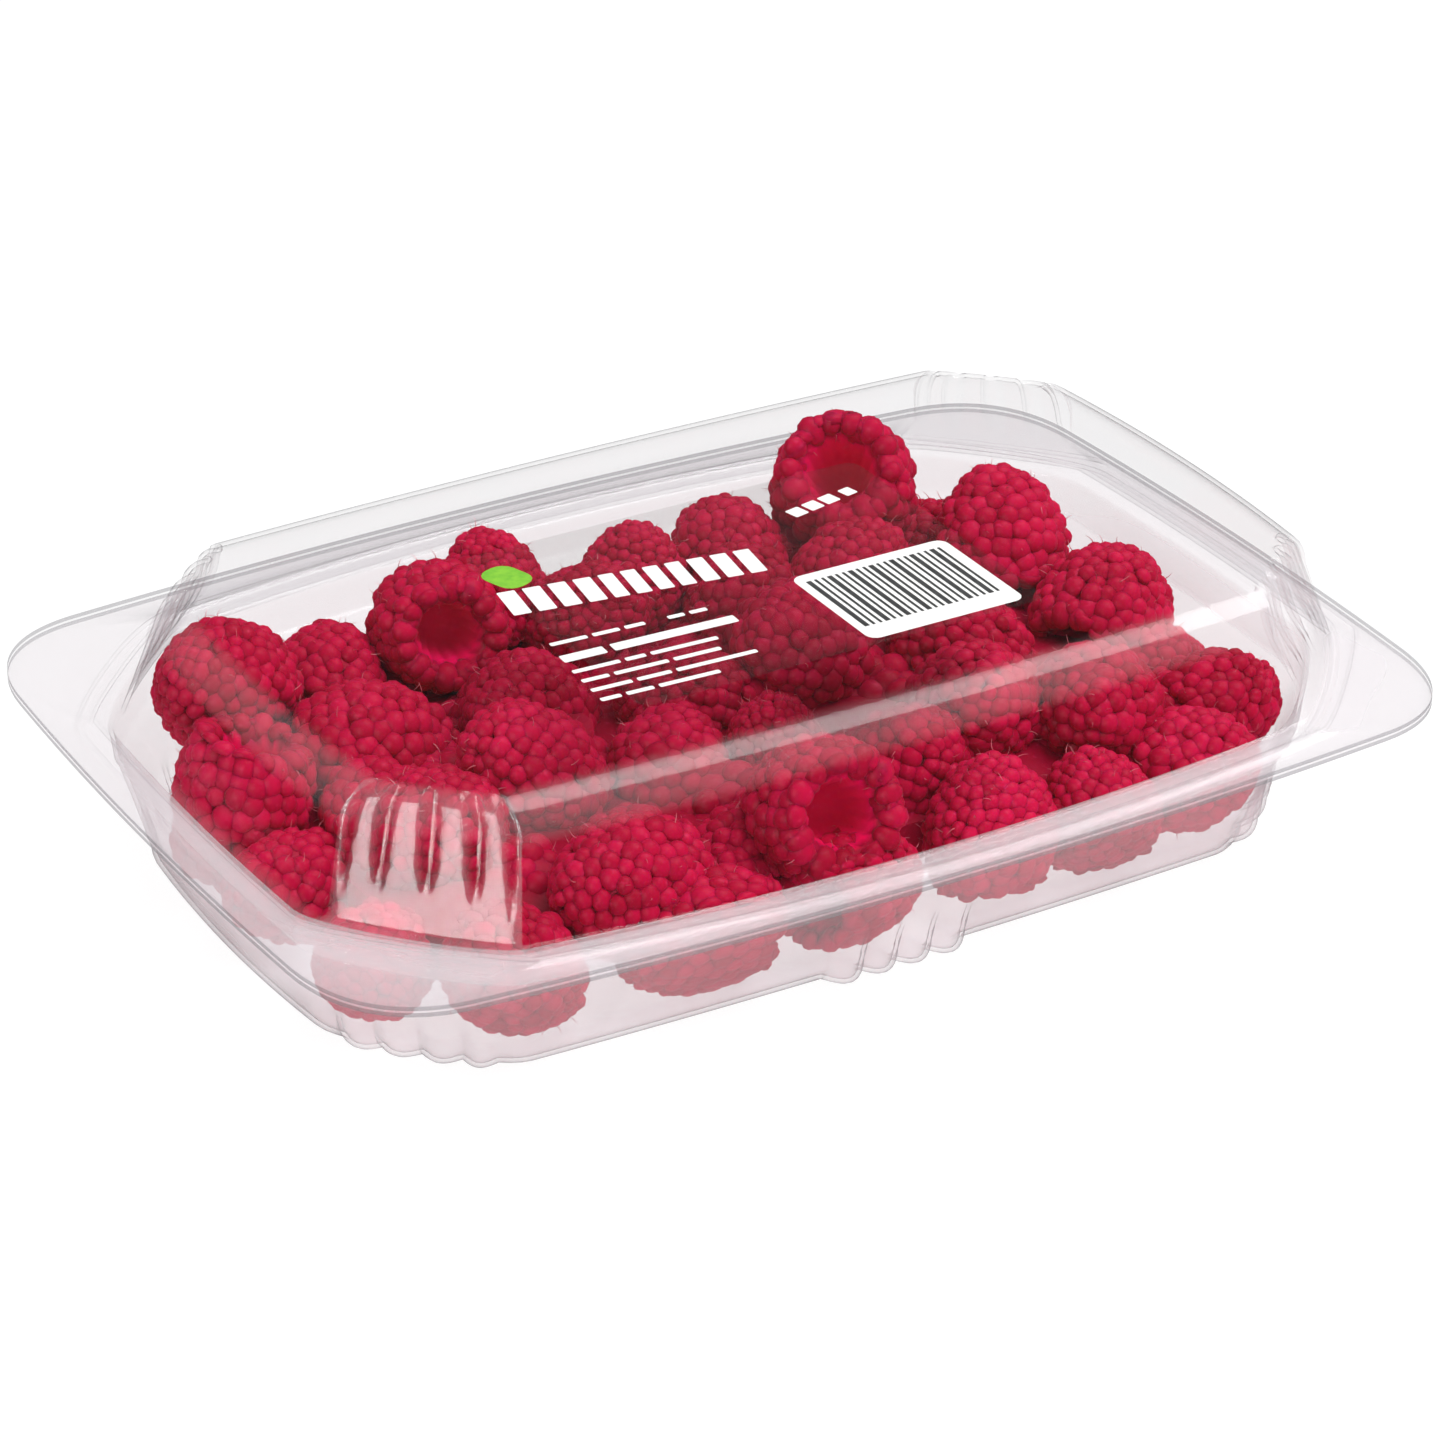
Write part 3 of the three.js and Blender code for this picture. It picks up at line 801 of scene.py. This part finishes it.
def under_berries(rng):
    """The layer of berries under the top of the heap, in uneven rows."""
    berries = []
    for i in range(UNDER_COLUMNS):
        for k in range(UNDER_ROWS):
            x = (i - (UNDER_COLUMNS - 1) / 2) * UNDER_PITCH[0] + rng.uniform(*UNDER_PLAY)
            y = (k - (UNDER_ROWS - 1) / 2) * UNDER_PITCH[1] + rng.uniform(*UNDER_PLAY)
            width, heading = rng.uniform(*UNDER_WIDTHS), rng.uniform(0, 360)
            berries.append(Berry(x, y, UNDER_Z, width, heading, rng.uniform(*UNDER_TILTS)))
    return berries


def make_heap():
    rng = random.Random(SEED)
    bead, thread = drupelet(), hair()
    fine = [make_berry("fine", pitch, bead, thread, rng) for pitch in PITCHES]
    coarse = [make_berry("coarse", pitch, bead, thread, rng) for pitch in COARSE_PITCHES]
    deep = [make_berry("deep", pitch, bead, thread, rng) for pitch in DEEP_PITCHES]
    space = clear_space()
    hidden = [b for b in BERRIES if b.z < LOW and b.y > FAR]
    shut = [b for b in BERRIES if not b.shown and b not in hidden]
    kinds = {
        "berries_open": ([b for b in BERRIES if b.shown], coarse),
        "berries_largest": ([b for b in shut if b.width > LARGEST], coarse),
        "berries_large": ([b for b in shut if LARGE < b.width <= LARGEST], fine),
        "berries_middling": ([b for b in shut if MIDDLING < b.width <= LARGE], fine),
        "berries_small": ([b for b in shut if b.width <= MIDDLING], fine),
        "berries_under": (hidden + under_berries(rng), deep),
    }
    pieces, threads = [], []
    for name, (items, models) in kinds.items():
        made = [put(item, models, space, rng) for item in items]
        threads += [hairs for _, hairs in made]
        pieces.append(join([flesh for flesh, _ in made], name))
    hairs = join(threads, "berry_threads")
    for piece in pieces + [hairs]:
        keep_inside(piece, space)
    for helper in [bead, thread, space] + [piece for pair in fine + coarse + deep for piece in pair]:
        bpy.data.objects.remove(helper)
    return pieces + [heap_core()], hairs


# ------------------------------------------------------------------ print on the label
LABEL_Z = LID_Z + GAP + 0.3  # upper face of the film
INK = 0.04
INK_Z = LABEL_Z + 0.01
STRIPES = 20
STRIPE_PITCH = 1.1
STRIPE_WIDTHS = (0.4, 0.75)  # every third one is wide
Patch = namedtuple("Patch", "x y length height angle radius", defaults=(0.25,))


def patch(spec, z):
    """A flat patch of ink with round corners: a plane, bevelled at its corners and extruded."""
    bpy.ops.object.select_all(action="DESELECT")
    bpy.ops.mesh.primitive_plane_add(size=1)
    piece = bpy.context.object
    size = Matrix.Diagonal((spec.length * MM, spec.height * MM, 1, 1))
    piece.data.transform(size)
    bpy.ops.object.mode_set(mode="EDIT")
    bpy.ops.mesh.select_all(action="SELECT")
    bpy.ops.mesh.bevel(offset=spec.radius * MM, segments=4, affect="VERTICES")
    bpy.ops.mesh.select_all(action="SELECT")
    bpy.ops.mesh.extrude_region_move(TRANSFORM_OT_translate={"value": (0, 0, INK * MM)})
    bpy.ops.mesh.select_all(action="SELECT")
    bpy.ops.mesh.normals_make_consistent(inside=False)
    bpy.ops.object.mode_set(mode="OBJECT")
    turn = Matrix.Rotation(math.radians(spec.angle), 4, "Z")
    piece.data.transform(Matrix.Translation(Vector((spec.x, spec.y, z)) * MM) @ turn)
    return piece


def line_of_bars(start, angle, height, lengths, gap):
    """Bars one after another from a start, along a line at an angle."""
    along = Vector((math.cos(math.radians(angle)), math.sin(math.radians(angle))))
    at = Vector(start)
    bars = []
    for length in lengths:
        middle = at + along * length / 2
        bars.append(Patch(middle.x, middle.y, length, height, angle))
        at += along * (length + gap)
    return bars


def make_print():
    bars = line_of_bars((-31.5, 2.6), -8.3, 7.2, [2.6] * 4 + [2.2] * 4 + [2.4] * 3, 1.05)
    bars += line_of_bars((-32, -11), -2.8, 0.9, [5.5, 4, 3], 0.8)
    bars += line_of_bars((-14.5, -11.9), -2.8, 0.9, [2.5, 2.6], 0.8)
    bars += line_of_bars((-32.7, -15.5), -2.4, 2, [6.4, 18.6], 1.1)
    for i, lengths in enumerate([[7, 3, 10], [4, 8, 7], [6, 5, 12], [3, 4, 9]]):
        bars += line_of_bars((-33.2 - 0.2 * i, -19.4 - 2.9 * i), -2.4, 0.9, lengths, 0.8)
    bars += line_of_bars((16.2, 7.2), 13, 2.5, [2.4, 2.4, 2.4], 0.7)
    bars += line_of_bars((26, 9.4), 13, 2.2, [2], 0.7)
    white = join([patch(bar, INK_Z) for bar in bars], "label_bars")
    panel = join([patch(Patch(18, -20.6, 24.6, 21.2, 0, 1.6), INK_Z)], "label_panel")
    stripes = []
    x = 18 - 10.6
    for i in range(STRIPES):
        width = STRIPE_WIDTHS[i % 3 == 0]
        stripes.append(patch(Patch(x, -19.8, width, 15.4, 0, 0.05), INK_Z + INK))
        x += STRIPE_PITCH
    dark = join(stripes, "label_stripes")
    green = join([patch(Patch(-27.4, 9.8, 5.4, 7, 18, 2.2), INK_Z)], "label_mark")
    return white, panel, dark, green


# ------------------------------------------------------------------ finishes
MILK = (0.98, 0.95, 0.97, 1)
SKIN_DARK = (0.34, 0.001, 0.022)
SKIN = (0.51, 0.002, 0.045)
SKIN_BRIGHT = (0.66, 0.006, 0.07)
# painted shade of the creases between beads
CREASE_SHADE = (0.32, 0.0005, 0.024, 1)
# painted glow: the hollow's bright crimson stands in for light shining through the flesh
HOLLOW_GLOW = (0.9, 0.0018, 0.1, 1)
# pale specks that are partly down and partly painted glints
DOWN_AND_GLINT = (0.8, 0.04, 0.14, 1)
MIRROR = 0.014  # what a face of the sheet mirrors when seen straight on


class Finish:
    """A material and short calls for its nodes."""

    def __init__(self, name):
        self.material = bpy.data.materials.new(name)
        self.material.use_nodes = True
        self.tree = self.material.node_tree
        self.tree.nodes.clear()
        self.output = self.tree.nodes.new("ShaderNodeOutputMaterial")

    def node(self, kind, inputs=(), **settings):
        """A node with its settings, and its inputs as numbers, colours or other nodes' outputs."""
        made = self.tree.nodes.new("ShaderNode" + kind)
        for key, value in settings.items():
            setattr(made, key, value)
        for key, value in dict(inputs).items():
            if isinstance(value, bpy.types.NodeSocket):
                self.tree.links.new(value, made.inputs[key])
            else:
                made.inputs[key].default_value = value
        return made

    def math(self, operation, a, b=0.0, clamp=False):
        return self.node("Math", {0: a, 1: b}, operation=operation, use_clamp=clamp).outputs[0]

    def scaled(self, value, gain, offset):
        return self.node("Math", {0: value, 1: gain, 2: offset}, operation="MULTIPLY_ADD").outputs[0]

    def read(self, name):
        return self.node("Attribute", attribute_name=name).outputs["Fac"]

    def noise(self, scale, detail=2.0):
        place = self.node("TexCoord").outputs["Object"]
        return self.node("TexNoise", {"Vector": place, "Scale": scale, "Detail": detail}).outputs["Fac"]

    def ramp(self, value, stops):
        made = self.node("ValToRGB", {"Fac": value})
        while len(made.color_ramp.elements) < len(stops):
            made.color_ramp.elements.new(0.5)
        for element, (position, color) in zip(made.color_ramp.elements, stops):
            element.position = position
            element.color = (*color, 1)
        return made.outputs["Color"]

    def mixed(self, factor, first, second):
        return self.node("Mix", {0: factor, 6: first, 7: second}, data_type="RGBA").outputs[2]

    def blend(self, factor, first, second):
        return self.node("MixShader", {0: factor, 1: first, 2: second}).outputs[0]

    def done(self, shader):
        self.tree.links.new(shader, self.output.inputs["Surface"])
        return self.material


def clear_finish(name, tint, edge_tint, haze, haze_gain, roughness=0.06):
    """Clear sheet: see-through, mirrors more towards grazing, and scatters a little light."""
    f = Finish(name)
    grazing = f.node("LayerWeight", {"Blend": 0.5}).outputs["Facing"]
    mirror = f.scaled(f.math("POWER", grazing, 5.0), 0.25, MIRROR)
    turned = f.math("MULTIPLY", f.math("POWER", grazing, 4.0), f.read("bend"))
    steep = f.math("ADD", f.scaled(f.math("POWER", grazing, 10.0), 0.6, 0.0), turned, clamp=True)
    see = f.node("BsdfTransparent", {"Color": f.mixed(steep, (*tint, 1), (*edge_tint, 1))}).outputs[0]
    ripple = f.node("Bump", {"Strength": 0.12, "Distance": 0.0004, "Height": f.noise(55, 0)}).outputs[0]
    gloss = f.node("BsdfGlossy", {"Roughness": roughness, "Normal": ripple}).outputs[0]
    sheet = f.blend(mirror, see, gloss)
    scatter = f.node("BsdfDiffuse", {"Color": MILK}).outputs[0]
    through = f.node("BsdfTranslucent", {"Color": MILK}).outputs[0]
    uneven = f.scaled(f.noise(30, 0), 0.5, 0.75)
    share = f.math("MULTIPLY", f.scaled(f.read("haze"), haze_gain, haze), uneven, clamp=True)
    return f.done(f.blend(share, sheet, f.blend(0.4, scatter, through)))


def flesh_finish():
    """Raspberry: crimson that differs by berry and bead, with painted shade in the creases, a painted
    glow in the hollow, and pale specks that are partly down and partly painted glints.
    """
    f = Finish("raspberry flesh")
    base = f.scaled(f.read("tone"), 0.45, 0.0)
    riper = f.scaled(f.read("ripeness"), 0.3, 0.0)
    mottled = f.scaled(f.noise(420, 3), 0.25, 0.0)
    uneven = f.scaled(f.noise(120, 1), 0.5, -0.2)
    colour = f.math("ADD", f.math("ADD", base, riper), f.math("ADD", mottled, uneven))
    skin = f.ramp(colour, [(0.1, SKIN_DARK), (0.55, SKIN), (1, SKIN_BRIGHT)])
    # painted shade: the crease mark darkens the skin by up to a half
    depth = f.math("MULTIPLY", f.read("crease_shade"), 0.5)
    shade = f.mixed(depth, skin, CREASE_SHADE)
    # painted glow and painted shade of the hollow
    inner = f.mixed(f.read("hollow"), shade, HOLLOW_GLOW)
    # random pale specks: partly down, partly painted glints
    specks = f.ramp(f.noise(800, 4), [(0.62, (0, 0, 0)), (0.74, (0.4, 0.4, 0.4))])
    down_and_glints = f.mixed(specks, inner, DOWN_AND_GLINT)
    grain = f.node("Bump", {"Strength": 0.3, "Distance": 0.0002, "Height": f.noise(1500, 2)}).outputs[0]
    return f.done(
        f.node(
            "BsdfPrincipled",
            {
                "Base Color": down_and_glints,
                "Roughness": 0.45,
                "Specular IOR Level": 0.04,
                "Sheen Weight": 0.06,
                "Sheen Roughness": 0.4,
                "Sheen Tint": (1, 0.45, 0.55, 1),
                "Subsurface Weight": 0.35,
                "Subsurface Radius": (1, 0.25, 0.2),
                "Subsurface Scale": 0.0015,
                "Normal": grain,
            },
        ).outputs[0]
    )


def thread_finish():
    f = Finish("dry thread")
    colour = f.ramp(f.noise(300), [(0.3, (0.55, 0.05, 0.09)), (0.7, (0.75, 0.2, 0.24))])
    return f.done(f.node("BsdfPrincipled", {"Base Color": colour, "Roughness": 0.6}).outputs[0])


def ink_finish(name, low, high, roughness):
    """Printing ink, a little uneven as it lies on film."""
    f = Finish(name)
    colour = f.ramp(f.noise(900, 3), [(0.3, low), (0.7, high)])
    return f.done(f.node("BsdfPrincipled", {"Base Color": colour, "Roughness": roughness}).outputs[0])


def floor_finish():
    """A pale table, lit a little from below."""
    f = Finish("pale floor")
    colour = f.ramp(f.noise(3), [(0.3, (0.09, 0.09, 0.09)), (0.7, (0.11, 0.11, 0.11))])
    surface = {"Base Color": colour, "Roughness": 0.9, "Specular IOR Level": 0.1}
    glow = {"Emission Color": (1, 1, 1, 1), "Emission Strength": 0.93}
    return f.done(f.node("BsdfPrincipled", {**surface, **glow}).outputs[0])


def dress(piece, *materials):
    """Fills a piece's slots in turn; its faces keep the slots they have."""
    slots = piece.data.materials
    for i, material in enumerate(materials):
        if i < len(slots):
            slots[i] = material
        else:
            slots.append(material)


# ------------------------------------------------------------------ the object
tray = make_tray()
lid = make_lid()
heap, threads = make_heap()
white, panel, dark, green = make_print()

tray_sheet = clear_finish("milky tray sheet", (0.998, 0.99, 0.995), (0.45, 0.45, 0.46), 0.155, 0.2, 0.1)
lid_sheet = clear_finish("clear lid sheet", (0.98, 0.978, 0.98), (0.5, 0.5, 0.51), 0.001, 0.046, 0.12)
cut_edge = clear_finish("cut edge of sheet", (0.6, 0.6, 0.61), (0.4, 0.4, 0.41), 0.08, 0, 0.2)
film = clear_finish("label film", (0.935, 0.94, 0.935), (0.7, 0.7, 0.7), 0.006, 0)
flesh = flesh_finish()
dress(tray, tray_sheet, cut_edge)
dress(lid, lid_sheet, cut_edge)
for piece in heap:
    dress(piece, flesh)
dress(threads, thread_finish())
dress(white, ink_finish("white ink", (0.86, 0.86, 0.85), (0.93, 0.93, 0.92), 0.45))
dress(panel, ink_finish("panel ink", (0.88, 0.88, 0.86), (0.93, 0.93, 0.91), 0.45))
dress(dark, ink_finish("dark ink", (0.02, 0.02, 0.022), (0.05, 0.05, 0.052), 0.4))
dress(green, ink_finish("green ink", (0.16, 0.5, 0.02), (0.26, 0.62, 0.03), 0.4))
dress(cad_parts["label"], film)

for piece, node, slot in [(tray, "tray", "tray_plastic"), (lid, "lid", "lid_plastic")]:
    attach(piece, "root")
    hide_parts(node)
for piece in heap + [threads]:
    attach(piece, "root")
    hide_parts("raspberries")
for piece in (white, panel, dark, green):
    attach(piece, "root")

# ------------------------------------------------------------------ floor, light and camera
bpy.ops.object.select_all(action="DESELECT")
bpy.ops.mesh.primitive_plane_add(size=8, location=(0, 0, -0.0003))
floor = bpy.context.object
floor.name = "floor"
floor.visible_glossy = False  # or it would veil what stands behind the upright walls
dress(floor, floor_finish())


def soft_light(name, direction, distance, width, height, radiance, only_mirrored=False):
    """A softbox that looks at the punnet; its power follows from how bright its face is."""
    light = bpy.data.lights.new(name, "AREA")
    light.shape = "RECTANGLE"
    light.size, light.size_y = width, height
    light.energy = math.pi * width * height * radiance
    holder = bpy.data.objects.new(name, light)
    bpy.context.scene.collection.objects.link(holder)
    towards = Vector(direction).normalized()
    holder.location = towards * distance + Vector((0, 0, 0.02))
    holder.rotation_euler = towards.to_track_quat("Z", "Y").to_euler()
    holder.visible_camera = False
    holder.visible_diffuse = not only_mirrored
    holder.visible_glossy = only_mirrored


soft_light("key", (0.3, -0.45, 1.0), 1.6, 0.9, 0.9, 7.1)
soft_light("overhead_card", (0.42, -0.02, 0.9), 1.2, 1.0, 1.0, 10, only_mirrored=True)
soft_light("left_card", (-0.86, -0.4, 0.34), 1.3, 0.85, 0.8, 18, only_mirrored=True)
soft_light("back_card", (-0.17, 0.77, 0.62), 1.3, 0.32, 0.35, 0.3, only_mirrored=True)
soft_light("front_fill", (-0.3, -0.95, 0.2), 1.4, 0.9, 0.5, 1.6)


def make_world():
    """A dim room for reflections, soft fill for surfaces and a pale backdrop past the floor."""
    world = bpy.data.worlds.new("studio")
    bpy.context.scene.world = world
    world.use_nodes = True
    tree = world.node_tree
    tree.nodes.clear()
    path = tree.nodes.new("ShaderNodeLightPath")
    shades = {}
    for name, strength in (("fill", 0.68), ("mirror", 0.1), ("backdrop", 1.0)):
        shades[name] = tree.nodes.new("ShaderNodeBackground")
        shades[name].inputs["Color"].default_value = (1, 1, 1, 1)
        shades[name].inputs["Strength"].default_value = strength
    first, last = tree.nodes.new("ShaderNodeMixShader"), tree.nodes.new("ShaderNodeMixShader")
    output = tree.nodes.new("ShaderNodeOutputWorld")
    tree.links.new(path.outputs["Is Glossy Ray"], first.inputs[0])
    tree.links.new(shades["fill"].outputs[0], first.inputs[1])
    tree.links.new(shades["mirror"].outputs[0], first.inputs[2])
    tree.links.new(path.outputs["Is Camera Ray"], last.inputs[0])
    tree.links.new(first.outputs[0], last.inputs[1])
    tree.links.new(shades["backdrop"].outputs[0], last.inputs[2])
    tree.links.new(last.outputs[0], output.inputs["Surface"])


make_world()

CAMERA_TARGET = Vector((-6.07, -11.37, 22.59)) * MM
CAMERA_AZIMUTH = math.radians(-30.231)
CAMERA_ELEVATION = math.radians(27.949)
CAMERA_DISTANCE = 706.15 * MM
back = Vector((
    math.sin(CAMERA_AZIMUTH) * math.cos(CAMERA_ELEVATION),
    -math.cos(CAMERA_AZIMUTH) * math.cos(CAMERA_ELEVATION),
    math.sin(CAMERA_ELEVATION),
))
camera = bpy.data.objects.new("camera", bpy.data.cameras.new("camera"))
bpy.context.scene.collection.objects.link(camera)
camera.data.lens = 129.13
camera.data.sensor_width = 36
camera.location = CAMERA_TARGET + back * CAMERA_DISTANCE
camera.rotation_euler = back.to_track_quat("Z", "Y").to_euler()
bpy.context.scene.camera = camera
bpy.context.scene.view_settings.view_transform = "Standard"
bpy.context.scene.cycles.transparent_max_bounces = 24
bpy.context.scene.cycles.max_bounces = 4
bpy.context.scene.cycles.diffuse_bounces = 2
bpy.context.scene.cycles.glossy_bounces = 1
